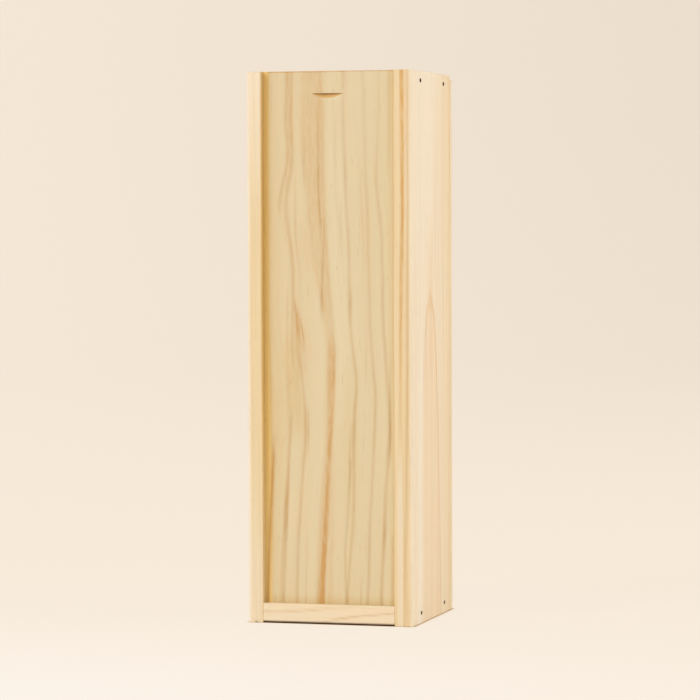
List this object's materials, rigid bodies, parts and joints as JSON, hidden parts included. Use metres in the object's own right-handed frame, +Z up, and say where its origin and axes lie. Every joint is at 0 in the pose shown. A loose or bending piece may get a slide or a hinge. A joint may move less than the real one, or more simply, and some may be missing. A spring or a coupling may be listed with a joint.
{
  "type": "wooden wine box",
  "caption": "Upright pine box for a wine bottle, made of plain bradded boards, with a flat lid that slides up out of grooves and has a scooped finger notch.",
  "frame": {"origin": "middle of the base, on the surface that the box stands on", "axes": "+Z up along the height, -Y out of the lid's face, +X towards the thicker side board"},
  "size_m": [0.108, 0.105, 0.35],
  "materials": {
    "side_pine": "planed, unfinished",
    "end_pine": "planed, unfinished",
    "panel_pine": "planed, unfinished",
    "lid_pine": "planed and lightly sanded, unfinished",
    "brad_steel": "dull galvanised wire"
  },
  "bodies": {
    "box": {"left_side": "side_pine", "right_side": "side_pine", "bottom_end": "end_pine", "top_end": "end_pine", "back_panel": "panel_pine", "side_brads": "brad_steel", "back_brads": "brad_steel"},
    "lid": {"lid": "lid_pine"}
  },
  "joints": [
    {"name": "lid_slide", "type": "slide", "parent": "box", "child": "lid", "axis": [0, 0, 1], "range_m": [0, 0.345]}
  ]
}
